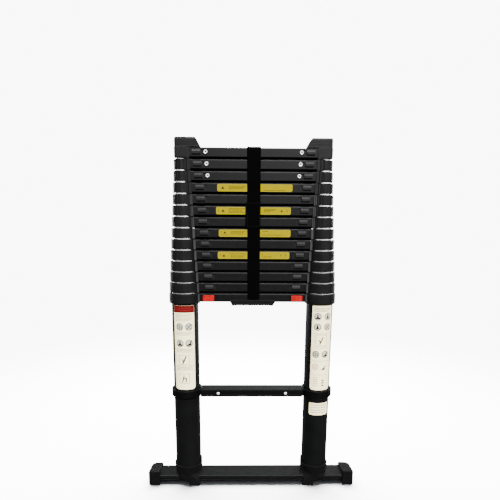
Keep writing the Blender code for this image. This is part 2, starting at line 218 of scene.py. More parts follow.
def upright(x, z=0.0, y=0.0):
    """Places a turned shape about the vertical axis through (x, y), measured up from z."""
    return lambda u, v, height: (x + u, y + v, z + height)


def facing_front(x, y, z):
    """Places a shape about an axis along Y, with its height towards the front."""
    return lambda u, v, height: (x + u, y - height, z + v)


def span(side, inner, outer):
    """The lowest and highest x of a stretch that starts inner and ends outer from the middle."""
    return sorted((side * inner, side * outer))


def mirrored(side, outline):
    return [(side * u, v) for u, v in outline]


def rectangle(low_u, low_v, high_u, high_v):
    return [(low_u, low_v), (high_u, low_v), (high_u, high_v), (low_u, high_v)]


def corner_arc(u, v, radius, first, last, steps=5):
    """Points of an arc about (u, v), from first to last in degrees."""
    turns = [math.radians(first + (last - first) * step / steps) for step in range(steps + 1)]
    return [(u + radius * math.cos(turn), v + radius * math.sin(turn)) for turn in turns]


def circle(u, v, radius, count=24):
    return corner_arc(u, v, radius, 0, 360, count)[:-1]


def level(plan, height):
    """A plan's points, all at one height."""
    return [(u, v, height) for u, v in plan]


def rounded(corners, radius, steps=4):
    """The outline with its corners turned into arcs; radius is one value or one for each corner."""
    radii = radius if isinstance(radius, (list, tuple)) else [radius] * len(corners)
    outline = []
    for index, corner in enumerate(corners):
        if not radii[index]:
            outline.append(corner)
            continue
        here = Vector(corner)
        before = (Vector(corners[index - 1]) - here).normalized()
        after = (Vector(corners[(index + 1) % len(corners)]) - here).normalized()
        half = before.angle(after) / 2
        centre = here + (before + after).normalized() * radii[index] / math.sin(half)
        first = here + before * radii[index] / math.tan(half) - centre
        last = here + after * radii[index] / math.tan(half) - centre
        turn = first.angle(last)
        for step in range(steps + 1):
            share = step / steps
            arm = first * math.sin((1 - share) * turn) + last * math.sin(share * turn)
            outline.append(tuple(centre + arm / math.sin(turn)))
    return outline


def superellipse(centre, half_u, half_v, power, count):
    """Points around a shape between an ellipse, at power 2, and a box, at a high one."""
    points = []
    for index in range(count):
        angle = math.tau * index / count
        u = math.copysign(abs(math.cos(angle)) ** (2 / power), math.cos(angle))
        v = math.copysign(abs(math.sin(angle)) ** (2 / power), math.sin(angle))
        points.append((centre + half_u * u, half_v * v))
    return points


def notch(u, v, depth, mouth, floor):
    """A groove in a face at u, centred on v; mouth and floor are half its widths there."""
    return [(u, v - mouth), (u + depth, v - floor), (u + depth, v + floor), (u, v + mouth)]


def grooved(start, end, height, count, width, depth):
    """Points across a flat top from start to end, with evenly spread grooves that slope at their sides."""
    points = []
    for index in range(count):
        middle = start + (index + 0.5) * (end - start) / count
        points += [(u, v) for v, u in notch(height, middle, -depth, width / 2, width / 4)]
    return points


# Pieces

def make_piece(name, shape, materials, body, stands_for=(), edge_angle=32):
    """Turns a bmesh into a piece of the ladder that rides on a body."""
    bmesh.ops.recalc_face_normals(shape, faces=shape.faces)
    mesh = bpy.data.meshes.new(name)
    shape.to_mesh(mesh)
    shape.free()
    for material in materials:
        mesh.materials.append(material)
    mesh.shade_smooth()
    mesh.set_sharp_from_angle(angle=math.radians(edge_angle))
    thing = bpy.data.objects.new(name, mesh)
    bpy.context.scene.collection.objects.link(thing)
    weighted = thing.modifiers.new("even_shading", "WEIGHTED_NORMAL")
    weighted.keep_sharp = True
    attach(thing, body)
    if stands_for:
        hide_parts(*stands_for)


# Materials

def set_sockets(tree, node, sockets):
    """Links each of these sockets to another node's output, or sets it to a value."""
    for name, value in sockets.items():
        if isinstance(value, bpy.types.NodeSocket):
            tree.links.new(value, node.inputs[name])
        else:
            node.inputs[name].default_value = value


def add_node(tree, kind, sockets, **settings):
    """Adds a shader node with its settings and sockets."""
    node = tree.nodes.new("ShaderNode" + kind)
    for name, value in settings.items():
        setattr(node, name, value)
    set_sockets(tree, node, sockets)
    return node


def noise(tree, scale, detail=3.0, stretch=(1, 1, 1)):
    """Noise in the object's own space, scale features to the metre, drawn out by stretch."""
    place = add_node(tree, "TexCoord", {}).outputs["Object"]
    mapping = add_node(tree, "Mapping", {"Vector": place, "Scale": stretch})
    sockets = {"Vector": mapping.outputs["Vector"], "Scale": scale, "Detail": detail}
    return add_node(tree, "TexNoise", sockets).outputs["Fac"]


def times(colour, share):
    return (*[share * part for part in colour], 1)


def cloudy(tree, share, colour, dark, light, first=0.35, last=0.65):
    """The colour, from dark times to light times as strong as share goes from first to last."""
    ramp = add_node(tree, "ValToRGB", {"Fac": share}).outputs["Color"]
    for element, place, strength in zip(ramp.node.color_ramp.elements, (first, last), (dark, light)):
        element.position = place
        element.color = times(colour, strength)
    return ramp


def worn_edges(tree, shade, worn):
    """Mixes a paler, rubbed colour in where the surface turns sharply outwards."""
    turn = add_node(tree, "NewGeometry", {}).outputs["Pointiness"]
    edges = add_node(tree, "MapRange", {"Value": turn, "From Min": 0.53, "From Max": 0.62})
    sockets = {"Factor": edges.outputs["Result"], "A": shade, "B": worn}
    return add_node(tree, "Mix", sockets, data_type="RGBA").outputs["Result"]


def relief(tree, heights, strength, distance):
    """Bumps, each from a height, one on top of another."""
    sockets = {"Strength": strength, "Distance": distance * MM}
    for height in heights:
        bump = add_node(tree, "Bump", {**sockets, "Height": height})
        sockets["Normal"] = bump.outputs["Normal"]
    return sockets["Normal"]


def uneven_shine(tree, share, roughness, less, more):
    """A roughness that goes from less below to more above the given one."""
    sockets = {"Value": share, "To Min": roughness - less, "To Max": roughness + more}
    return add_node(tree, "MapRange", sockets).outputs["Result"]


def start_material(name):
    material = bpy.data.materials.new(name)
    material.use_nodes = True
    return material, material.node_tree


def finish_material(material, colour, roughness, normal, ior, metallic=0.0):
    shader = material.node_tree.nodes["Principled BSDF"]
    sockets = {"Base Color": colour, "Roughness": roughness, "Normal": normal}
    set_sockets(material.node_tree, shader, {**sockets, "IOR": ior, "Metallic": metallic})
    return material


def grained_plastic(name, colour, roughness, ior=1.15, wear=1.6):
    """Moulded plastic: a fine spark-eroded grain, cloudy colour, and paler rubbed edges."""
    material, tree = start_material(name)
    shade = worn_edges(tree, cloudy(tree, noise(tree, 45), colour, 0.82, 1.18), times(colour, wear))
    shine = uneven_shine(tree, noise(tree, 160), roughness, 0.08, 0.08)
    return finish_material(material, shade, shine, relief(tree, [noise(tree, 900, 4)], 0.25, 0.12), ior)


def ribbed_rubber(name, colour):
    """Matt rubber with a pebbled skin."""
    material, tree = start_material(name)
    shade = cloudy(tree, noise(tree, 70, 5), colour, 0.75, 1.3)
    shine = uneven_shine(tree, noise(tree, 300), 0.75, 0.10, 0.10)
    return finish_material(material, shade, shine, relief(tree, [noise(tree, 650, 5)], 0.4, 0.2), 1.14)


def drawn_metal(name, colour, roughness, metallic, stretch):
    """Extruded metal with die lines along it and a fine satin between them."""
    material, tree = start_material(name)
    lines = noise(tree, 1, 6, stretch)
    shade = cloudy(tree, lines, colour, 0.84, 1, 0.3, 0.7)
    shine = uneven_shine(tree, lines, roughness, 0.07, 0.09)
    skin = relief(tree, [lines, noise(tree, 2200)], 0.12, 0.06)
    return finish_material(material, shade, shine, skin, 1.5, metallic)


def powder_coat(name, colour, roughness, ior):
    """Powder-coated metal, with its orange peel over a finer sparkle."""
    material, tree = start_material(name)
    shade = cloudy(tree, noise(tree, 25), colour, 0.85, 1.15)
    shine = uneven_shine(tree, noise(tree, 120), roughness, 0.05, 0.07)
    skin = relief(tree, [noise(tree, 350), noise(tree, 1500)], 0.16, 0.10)
    return finish_material(material, shade, shine, skin, ior)


def webbing(name, colour):
    """Woven nylon: crosswise picks and lengthwise cords, a little fuzzy."""
    material, tree = start_material(name)
    place = add_node(tree, "TexCoord", {}).outputs["Object"]
    waves = []
    for direction, scale in (("X", 420.0), ("Z", 300.0)):
        sockets = {"Vector": place, "Scale": scale, "Distortion": 0.6}
        waves.append(add_node(tree, "TexWave", sockets, bands_direction=direction).outputs["Fac"])
    crossed = add_node(tree, "Math", dict(enumerate(waves)), operation="MULTIPLY").outputs["Value"]
    shade = cloudy(tree, crossed, colour, 0.55, 1, 0.1, 0.7)
    return finish_material(material, shade, 0.85, relief(tree, [crossed, noise(tree, 1800)], 0.6, 0.3), 1.05)


def paper(name, colour, roughness=0.5, ior=1.12):
    """A printed vinyl sticker: nearly flat colour, with a faint mottle and ripple."""
    material, tree = start_material(name)
    shade = cloudy(tree, noise(tree, 90, 4), colour, 0.93, 1)
    shine = uneven_shine(tree, noise(tree, 60), roughness, 0.08, 0.1)
    return finish_material(material, shade, shine, relief(tree, [noise(tree, 130)], 0.1, 0.1), ior)


tread_plastic = grained_plastic("tread_plastic", (0.0014, 0.0014, 0.0015), 0.43, 1.175)
collar_plastic = grained_plastic("collar_plastic", (0.0032, 0.0032, 0.0033), 0.46)
# A paler copy of the black plastic: a painted highlight for the strips' front faces, where light falls on
# them.
strip_painted_highlight = grained_plastic("strip_painted_highlight", (0.0130, 0.0130, 0.0130), 0.50)
cap_plastic = grained_plastic("cap_plastic", (0.0036, 0.0036, 0.0037), 0.44)
middle_plastic = grained_plastic("middle_plastic", (0.0008, 0.0008, 0.0009), 0.5, 1.13)
slide_plastic = grained_plastic("slide_plastic", (0.0045, 0.0045, 0.0045), 0.45)
red_plastic = grained_plastic("red_plastic", (0.24, 0.003, 0.003), 0.45, 1.12, wear=1.4)
cap_rubber = ribbed_rubber("cap_rubber", (0.0010, 0.0010, 0.0010))
# Black rubber for the boots and the end caps' screw wells; in the rivets it is a disc of painted shade in
# the bore.
boot_rubber = ribbed_rubber("boot_rubber", (0.0010, 0.0010, 0.0010))
tube_coat = powder_coat("tube_coat", (0.0020, 0.0020, 0.0021), 0.38, 1.18)
bar_coat = powder_coat("bar_coat", (0.0009, 0.0009, 0.0010), 0.45, 1.17)
bare_metal = drawn_metal("bare_metal", (0.92, 0.92, 0.91), 0.42, 0.45, (1400, 1400, 9))
rivet_metal = drawn_metal("rivet_metal", (0.90, 0.90, 0.89), 0.35, 0.4, (700, 700, 700))
# Dark metal for rivet stems and the end caps' screw heads; on the middle screws it paints the shade of their
# cross recess.
dark_metal_and_recess_shade = drawn_metal("dark_metal_and_recess_shade", (0.03, 0.03, 0.03), 0.5, 0.8, (700, 700, 700))
strap_web = webbing("strap_web", (0.0009, 0.0009, 0.0010))
thread = grained_plastic("thread", (0.004, 0.004, 0.004), 0.7, 1.1)
white_paper = paper("white_paper", (0.97, 0.86, 0.50))
yellow_paper = paper("yellow_paper", (0.18, 0.142, 0.0), 0.8, 1.02)
pale_yellow = paper("pale_yellow", (0.23, 0.19, 0.006), 0.8, 1.02)
red_ink = paper("red_ink", (0.085, 0.004, 0.004), 0.6, 1.06)
pink_ink = paper("pink_ink", (0.20, 0.02, 0.02), 0.6, 1.06)
grey_ink = paper("grey_ink", (0.05, 0.05, 0.04))
pale_grey = paper("pale_grey", (0.42, 0.40, 0.32))
dark_ink = paper("dark_ink", (0.006, 0.006, 0.005), 0.6, 1.1)


# Treads

def tread_profile(top, bottom, rib_bottom, window):
    """A channel open downwards with a rib along its middle, as (y, z) points.

    Returns it with the places in it of the two edges that a window cuts: one on the front wall's
    outside, going up, and one on its inside, going down.
    """
    low, high = window
    depth = RUNG_HALF_DEPTH
    inside = depth - RUNG_WALL
    ceiling = top + RUNG_SET_DOWN - RUNG_CEILING
    chamfer = 0.5
    profile = [(-depth + chamfer, bottom), (-depth, bottom + chamfer), (-depth, low), (-depth, high)]
    profile += corner_arc(-depth + RUNG_ROUND, top - RUNG_ROUND, RUNG_ROUND, 180, 90)
    profile += grooved(-depth + RUNG_ROUND, depth - RUNG_ROUND, top, 9, 1.6, 0.7)
    profile += corner_arc(depth - RUNG_ROUND, top - RUNG_ROUND, RUNG_ROUND, 90, 0)
    profile += [(depth, bottom + chamfer), (depth - chamfer, bottom), (inside, bottom), (inside, ceiling)]
    rib = [(RIB_HALF_WIDTH, ceiling), (RIB_HALF_WIDTH, rib_bottom)]
    profile += rib + mirrored(-1, reversed(rib))
    profile += [(-inside, ceiling), (-inside, high), (-inside, low), (-inside, bottom)]
    return profile, 2, len(profile) - 3


def add_tread(shape, profile, outer_edge, inner_edge, half_length, window):
    """Extrudes a tread's profile along X, with a window through its front wall near each end."""
    stations = [-half_length, -window[1], -window[0], window[0], window[1], half_length]
    rings = [add_points(shape, [(x, y, z) for y, z in profile]) for x in stations]
    for place, (left, right) in enumerate(zip(rings, rings[1:])):
        is_window = place in (1, 3)
        for index in range(len(profile)):
            after = (index + 1) % len(profile)
            if not (is_window and index in (outer_edge, inner_edge)):
                shape.faces.new((left[index], left[after], right[after], right[index]))
        if is_window:
            for outer, inner in ((outer_edge, inner_edge + 1), (outer_edge + 1, inner_edge)):
                shape.faces.new((left[outer], left[inner], right[inner], right[outer]))
    for ring in rings[1:5]:
        corners = (outer_edge, outer_edge + 1, inner_edge, inner_edge + 1)
        shape.faces.new([ring[corner] for corner in corners])
    shape.faces.new(rings[0])
    shape.faces.new(rings[-1])


def slide_centre(section):
    return SLIDE_CENTRE - SLIDE_CENTRE_STEP * (SECTIONS - section)


def rung_end(section):
    return RUNG_END + RUNG_END_STEP * section


def block_start(section):
    return BLOCK_START + BLOCK_START_STEP * section


def make_tread(section):
    """The hollow tread of a section, between its two connectors."""
    top = rung_top(section)
    width, height = SLIDE_SIZE if section else BUTTON_SIZE
    centre = slide_centre(section) if section else BUTTON_CENTRE
    middle = top - (COLLAR_HEIGHT / 2 if section else BUTTON_DROP)
    half_height = height / 2 + GAP
    rib_bottom = top - (PITCH + RUNG_SET_DOWN + RIB_OVERLAP if section else COLLAR_HEIGHT)
    heights = (middle - half_height, middle + half_height)
    cut = tread_profile(top - RUNG_SET_DOWN, top - COLLAR_HEIGHT, rib_bottom, heights)
    window = (centre - width / 2 - GAP - SLIDE_TRAVEL, centre + width / 2 + GAP)
    shape = bmesh.new()
    add_tread(shape, *cut, rung_end(section) + RUNG_WALL, window)
    return shape


# Connectors and collars

def strip_edge(section):
    """How far out the strip beside the tread reaches."""
    start = rung_end(section)
    return start + 0.58 * (block_start(section) - start)


def connector_outline(section, side, bore):
    """The plan of the block between tread and collar: a strip, a groove and an arc for the tube."""
    end = block_start(section)
    strip = strip_edge(section)
    groove = strip + 2.2
    front = -BLOCK_HALF_DEPTH
    half = [
        (rung_end(section), front), (strip, front), (strip + 0.6, front + 3.5),
        (groove - 0.6, front + 3.5), (groove, front + 1.0), (end, front + 1.0),
    ]
    turn = math.degrees(math.acos((TUBE_X - end) / bore))
    arc = corner_arc(TUBE_X, 0.0, bore, 180 + turn, 180 - turn, 12)
    return mirrored(side, half + arc + [(u, -v) for u, v in reversed(half)])


def top_plan(side, inner, grow=0.0):
    """The plan of the top section's end, with round outer corners, as it is in the cap above too."""
    depth = BLOCK_HALF_DEPTH - GAP + grow
    corner = TOP_CORNER + grow
    corners = rectangle(inner, -depth, TOP_BLOCK_END + grow, depth)
    return mirrored(side, rounded(corners, [0.5, corner, corner, 0.5], 6))


def add_top_block(shape, side, top):
    """The solid end of the top rung, over its tube."""
    start = rung_end(SECTIONS) + RUNG_WALL
    bottom = top - skirt_height(SECTIONS)
    chamfer = 0.8
    levels = ((bottom, -chamfer), (bottom + chamfer, 0.0), (top - chamfer, 0.0), (top, -chamfer))
    add_loft(shape, [level(top_plan(side, start, grow), height) for height, grow in levels])


def add_strip(shape, section, side):
    """The face of the strip, proud of the block at its front; the middle ones are parted. Outside
    PLAIN_STRIPS it is drawn in a paler plastic, a painted highlight for light on its front.
    """
    start = rung_end(section) + 0.6
    end = strip_edge(section) - 0.6
    top = rung_top(section) - 2.0
    third = (end - start) / 3
    parted = [(start, start + third), (end - third, end)]
    front = -BLOCK_HALF_DEPTH
    for inner, outer in parted if section in PARTED_STRIPS else [(start, end)]:
        low_x, high_x = span(side, inner, outer)
        outline = rectangle(low_x, top - DROP + 4.0, high_x, top)
        # Material 1 is the paler plastic, a painted highlight on the strip's face.
        material = 0 if section in PLAIN_STRIPS else 1
        add_prism(shape, outline, front - 0.5, front + 0.2, along_y, 0.5, 3, material)


def flute(angle):
    """How deep the upright grooves around a fluted collar are."""
    pitch = math.tau / 10
    away = abs((angle + pitch / 2) % pitch - pitch / 2)
    return 0.75 * (0.5 + 0.5 * math.cos(math.pi * min(1.0, away / math.radians(4.5))))


def skirt_height(section):
    """How far a sliding section's collars reach down towards the collars beneath."""
    return PITCH - SKIRT_GAP - SKIRT_GAP_STEP * section


def collar_profile(section, bore):
    """A ring, closed: its bore narrows at the top to a lip around the next tube."""
    radius = collar_radius(section)
    lip = tube_radius(section + 1) + 0.35
    if section:
        height, crown = skirt_height(section), 1.8
        foot = corner_arc(radius - 1.2, 1.2 - height, 1.2, -90, 0, 3)
    else:
        height, crown = BASE_COLLAR_HEIGHT, 2.0
        foot = corner_arc(radius - 3.5, 3.5 - height, 3.5, -80, 0, 4)
    profile = [(bore, -height)] + foot + corner_arc(radius - crown, -crown, crown, 0, 90, 4)
    return profile + [(lip, 0.0), (lip, -1.2), (bore, -1.2)]


def make_collar(section, side):
    """One end of a rung: its connector block and the collar on its tube."""
    top = rung_top(section)
    bore = tube_radius(section) + 0.4
    drop = DROP if section else COLLAR_HEIGHT + GAP
    shape = bmesh.new()
    add_prism(shape, connector_outline(section, side, bore), top - drop, top - GAP, along_z, 0.7)
    add_strip(shape, section, side)
    if section == SECTIONS:
        add_top_block(shape, side, top)
        return shape
    depth = flute if section in FLUTED_SECTIONS else None
    sides = 180 if depth else (96 if section else 120)
    place = upright(side * TUBE_X, top)
    add_turned(shape, collar_profile(section, bore), place, sides, loop=True, depth=depth)
    return shape


def make_pipe(section, word, side):
    """A sliding or base tube, drawn round, with its edges broken."""
    radius = tube_radius(section)
    low, high = node_box(tube_node(section, word))
    inner = radius - TUBE_WALL
    edge = 0.3
    profile = [
        (radius - edge, low.z), (radius, low.z + edge), (radius, high.z - edge), (radius - edge, high.z),
        (inner + edge, high.z), (inner, high.z - edge), (inner, low.z + edge), (inner + edge, low.z),
    ]
    shape = bmesh.new()
    add_turned(shape, profile, upright(side * TUBE_X), 96, loop=True)
    return shape


# Thumb slides, buttons, rivets and screws

def add_plate(shape, side, x, z, size, reach, material=0):
    """The flat plate behind the front wall that a slide or a button stands on."""
    half_height = size[1] / 2 + PLATE_OVERLAP
    inner = size[0] / 2 + SLIDE_TRAVEL + PLATE_OVERLAP
    low_x, high_x = span(side, -inner, size[0] / 2 + reach)
    outline = rectangle(x + low_x, z - half_height, x + high_x, z + half_height)
    add_prism(shape, outline, -PLATE_FRONT, -PLATE_BACK, along_y, 0.3, material=material)


def make_thumb(section, side):
    """A thumb slide: a sloping top that catches the nail, over a face with two grip grooves."""
    x = side * slide_centre(section)
    z = rung_top(section) - COLLAR_HEIGHT / 2
    half_width, half = SLIDE_SIZE[0] / 2, SLIDE_SIZE[1] / 2
    face, back = -SLIDE_FRONT, -PLATE_FRONT + GAP
    outline = [(back, -half), (face + 1.0, -half), (face, -half + 1.2)]
    outline += notch(face, -2.6, 0.5, 0.5, 0.2) + notch(face, -0.6, 0.5, 0.5, 0.2)
    outline += [(face, 1.0), (face + 3.0, half), (back, half)]
    shape = bmesh.new()
    add_prism(shape, [(y, z + v) for y, v in outline], x - half_width, x + half_width, along_x, 0.3)
    add_plate(shape, side, x, z, SLIDE_SIZE, SLIDE_PLATE_REACH)
    return shape


def make_button(side):
    """A release button: a rimmed block with a dished face, and an arrow ridge towards the middle."""
    x = side * BUTTON_CENTRE
    z = rung_top(0) - BUTTON_DROP
    half_width, half_height = BUTTON_SIZE[0] / 2, BUTTON_SIZE[1] / 2
    face = -SLIDE_FRONT
    rings = []
    for inset, y in (
        (0.0, -PLATE_FRONT + GAP), (0.0, face + 0.8), (0.25, face + 0.25),
        (0.8, face), (1.8, face), (2.4, face + 1.1),
    ):
        wide, tall = half_width - inset, half_height - inset
        plan = rounded(rectangle(x - wide, z - tall, x + wide, z + tall), 2.6 - inset * 0.8)
        rings.append([(u, y, v) for u, v in plan])
    shape = bmesh.new()
    add_loft(shape, rings)
    tail = x + side
    ridges = [[(x - side * 9.0, z), (tail, z - 4.2), (tail, z + 4.2)]]
    for place in (5.0, 9.0):
        middle = x + side * place
        ridges.append(rectangle(middle - 0.8, z - 4.6, middle + 0.8, z + 4.6))
    for outline in ridges:
        add_prism(shape, outline, face + 0.3, face + 1.6, along_y, 0.3)
    add_plate(shape, side, x, z, BUTTON_SIZE, BUTTON_PLATE_REACH, 1)
    return shape


def make_rivet(x, z):
    """A blind rivet: a domed flange with its broken stem in the middle."""
    flange = [(2.6, -1.0), (5.0, -1.0), (5.0, 0.3), (4.6, 1.1), (4.0, 1.6), (3.0, 1.4), (2.6, 0.6)]
    place = facing_front(x, -RUNG_HALF_DEPTH, z)
    shape = bmesh.new()
    add_turned(shape, flange, place, 32, loop=True)
    # A black rubber disc closes the flange's bore: painted shade for the hollow around the stem.
    add_stud(shape, place, (2.7, -1.0), (2.7, 0.2), 24, 1)
    add_stud(shape, place, (1.1, 0.1), (0.9, 0.9), 16, 2)
    return shape


def make_screw(place, radius, height):
    """A pan-head screw whose cross recess is drawn as a raised dark cross: painted shade for the hollow."""
    head = [(AXIS, -1.0), (radius, -1.0), (radius, 0.3 * height)]
    for step in range(1, 5):
        turn = math.pi / 2 * step / 4
        head.append((radius * math.cos(turn) * 0.98 + AXIS, height * (0.3 + 0.7 * math.sin(turn))))
    shape = bmesh.new()
    add_turned(shape, head, place, 32)
    arm, width = radius * 0.55, radius * 0.13
    for outline in (rectangle(-arm, -width, arm, width), rectangle(-width, -arm, width, arm)):
        # The dark cross is painted shade for the recess, set just proud of the head.
        add_prism(shape, outline, 0.86 * height, 1.03 * height, place, material=1)
    return shape


# The sections

def make_rung(section, number, body, tube_material):
    """The tread, the two collars and the two tubes of a section, or of the base."""
    tread = make_tread(section)
    make_piece(f"tread_{number}", tread, [tread_plastic], body, [rung_node(section)])
    for word, side in SIDES:
        collar = make_collar(section, side)
        make_piece(f"collar_{word}_{number}", collar, [collar_plastic, strip_painted_highlight], body)
        pipe = make_pipe(section, word, side)
        node = tube_node(section, word)
        make_piece(f"pipe_{word}_{number}", pipe, [tube_material], body, [node])
        if section:
            make_slide_and_rivet(section, number, body, word, side)
        else:
            button = make_button(side)
            node = f"release_button_{word}"
            parts = [red_plastic, tread_plastic]
            make_piece(f"button_{word}", button, parts, f"button_{word}", [node])


def make_slide_and_rivet(section, number, body, word, side):
    """What is on the front of a sliding rung, near one end."""
    thumb = make_thumb(section, side)
    if section in SLIDING_THUMBS:
        own_body, node = f"thumb_{word}_{number}", [f"thumb_slide_{word}_{number}"]
    else:
        own_body, node = body, []
    make_piece(f"thumb_{word}_{number}", thumb, [slide_plastic], own_body, node)
    if section in RIVET_CENTRES:
        rivet = make_rivet(side * RIVET_CENTRES[section], rung_top(section) - COLLAR_HEIGHT / 2)
        make_piece(f"rivet_{word}_{number}", rivet, [rivet_metal, boot_rubber, dark_metal_and_recess_shade], body)


def make_top_cap(word, side):
    """A wedge on the end of the top rung: round outer corners, a slanted inner end, ribs in front."""
    low, high = node_box(f"top_cap_{word}")
    foot = rung_top(SECTIONS) + GAP
    inner = min(abs(low.x), abs(high.x))
    height = high.z - foot
    lean = 14.0 / height
    rings = []
    for rise, grow in (
        (0.0, -1.0), (0.5, -0.6), (1.6, -0.6), (2.0, -0.9), (height - 5.0, -0.9),
        (height - 4.0, -1.6), (height - 1.6, -1.8), (height - 0.6, -2.4), (height, -3.6),
    ):
        rings.append(level(top_plan(side, inner + lean * rise - grow, grow), foot + rise))
    shape = bmesh.new()
    add_loft(shape, rings)
    face = BLOCK_HALF_DEPTH - GAP - 0.9
    for rise in (6.0, 10.0, 14.0, 18.0):
        low_x, high_x = span(side, inner + lean * rise + 3.5, TOP_BLOCK_END - TOP_CORNER - 1.5)
        rib = rectangle(low_x, foot + rise - 0.6, high_x, foot + rise + 0.6)
        add_prism(shape, rib, -face - 0.35, -face + 0.3, along_y, 0.3)
        add_prism(shape, rib, face - 0.3, face + 0.35, along_y, 0.3)
    make_piece(f"cap_{word}", shape, [cap_plastic], "section_13", [f"top_cap_{word}"])


# The fixed base

def make_middle_rung():
    """The fixed rung: a channel with a grooved top and front, two screws, and a collar on each tube."""
    high = node_box("rung_middle")[1]
    top = high.z - 1.9
    bottom = top - MIDDLE_HEIGHT
    depth = MIDDLE_HALF_DEPTH
    reach = TUBE_X - MIDDLE_COLLAR_RADIUS + RUNG_WALL
    inside = depth - RUNG_WALL
    profile = [(-depth + 0.8, bottom), (-depth, bottom + 0.8)]
    profile += notch(-depth, bottom + 8.0, 0.5, 1.0, 0.5)
    profile += corner_arc(-depth + 1.6, top - 1.6, 1.6, 180, 90)
    profile += grooved(-depth + 2.6, 8.0, top, 2, 2.4, 1.2)
    profile += [(y, z) for z, y in notch(top, 11.8, -1.4, 1.8, 1.2)]
    profile += corner_arc(depth - 1.6, top - 1.6, 1.6, 90, 0)
    profile += [(depth, bottom + 0.8), (depth - 0.8, bottom), (inside, bottom)]
    profile += [(inside, top - 3), (-inside, top - 3), (-inside, bottom)]
    shape = bmesh.new()
    add_loft(shape, [[(x, y, z) for y, z in profile] for x in (-reach, reach)])
    make_piece("tread_middle", shape, [middle_plastic], "base", ["rung_middle"])
    for word, side in SIDES:
        collar = make_middle_collar(side, top)
        make_piece(f"collar_{word}_middle", collar, [middle_plastic], "base")
        screw = make_screw(facing_front(side * MIDDLE_SCREW_X, -depth, bottom + 11.0), 4.1, 2.0)
        make_piece(f"screw_{word}_middle", screw, [rivet_metal, dark_metal_and_recess_shade], "base")


def make_middle_collar(side, tread_top):
    """A collar of the fixed rung, with a gusset over the tread."""
    low, high = node_box("rung_middle")
    height = high.z - low.z
    radius = MIDDLE_COLLAR_RADIUS
    bore = tube_radius(0) + 0.3
    ring = [(bore, -height), (radius - 4.5, -height), (radius - 0.6, 4.0 - height), (radius, 5.2 - height)]
    ring += corner_arc(radius - 1.6, -1.6, 1.6, 0, 90, 4)
    ring += [(bore + 1.8, 0.0), (bore + 1.2, -0.8), (bore, -0.8)]
    shape = bmesh.new()
    add_turned(shape, ring, upright(side * TUBE_X, high.z), 120, loop=True)
    inner = TUBE_X - bore
    foot, crest = tread_top - 1, tread_top + 9.0
    gusset = [(inner - 8.0, foot), (inner + 0.5, foot), (inner + 0.5, crest), (inner - 1.0, crest)]
    add_prism(shape, mirrored(side, gusset), -10.0, 10.0, along_y, 0.8)
    return shape


def make_handle():
    """The carry handle: a saddle under the base rung, with lips up its front and back."""
    low, high = node_box("carry_handle")
    half_top, depth = high.x, high.y
    half_bottom = half_top - 7.5
    floor = rung_top(0) - COLLAR_HEIGHT - GAP
    body = []
    steps = 28
    for step in range(steps + 1):
        x = half_bottom * (2 * step / steps - 1)
        ends = math.exp(-((abs(x) - half_bottom + 2) / 5) ** 2)
        body.append((x, low.z + 1.7 * (1 - ends)))
    body += [(half_top - 1.2, floor), (1.2 - half_top, floor)]
    shape = bmesh.new()
    add_prism(shape, body, -depth, depth, along_y, 1.2)
    lip = [(1.6 - half_top, floor - 2), (half_top - 1.6, floor - 2), (half_top, high.z), (-half_top, high.z)]
    lip = rounded(lip, [0.0, 0.0, 1.6, 1.6], 3)
    for front in (-1, 1):
        add_prism(shape, lip, *span(front, RUNG_HALF_DEPTH + GAP, depth), along_y, 0.8, 3)
    for z in (low.z + 4.5, low.z + 8.5):
        rib = rectangle(5 - half_bottom, z, half_bottom - 5, z + 1.0)
        add_prism(shape, rib, -depth - 0.4, 1 - depth, along_y, 0.3)
    make_piece("handle", shape, [tread_plastic], "base", ["carry_handle"])


def make_bar():
    """The stabiliser bar: an extrusion with a ribbed top and two grooves along its front and back."""
    low, high = node_box("stabiliser_bar")
    depth, bottom, top = high.y, low.z, high.z
    turn = 2.2
    front = corner_arc(-depth + turn, bottom + turn, turn, 270, 180, 3)
    for z in (bottom + 5.85, bottom + 13.85):
        front += notch(-depth, z, 0.6, 0.85, 0.35)
    front += corner_arc(-depth + turn, top - turn, turn, 180, 90, 3)
    ribs = grooved(-depth + turn + 1, depth - turn - 1, top, 8, 1.6, 0.3)
    profile = front + ribs + mirrored(-1, reversed(front))
    shape = bmesh.new()
    add_loft(shape, [[(x, y, z) for y, z in profile] for x in (low.x, high.x)])
    make_piece("bar", shape, [bar_coat], "base", ["stabiliser_bar"])


def end_cap_plan(low, high, side, inset):
    """The plan of an end cap, round at its outer corners and most of all behind, moved in by inset."""
    outer = max(abs(low.x), abs(high.x)) - inset
    inner = min(abs(low.x), abs(high.x)) + inset
    corners = mirrored(side, rectangle(inner, low.y + inset, outer, high.y - inset))
    return rounded(corners, [max(radius - inset, 0.3) for radius in (1.5, 3.0, 19.0, 1.5)], 8)


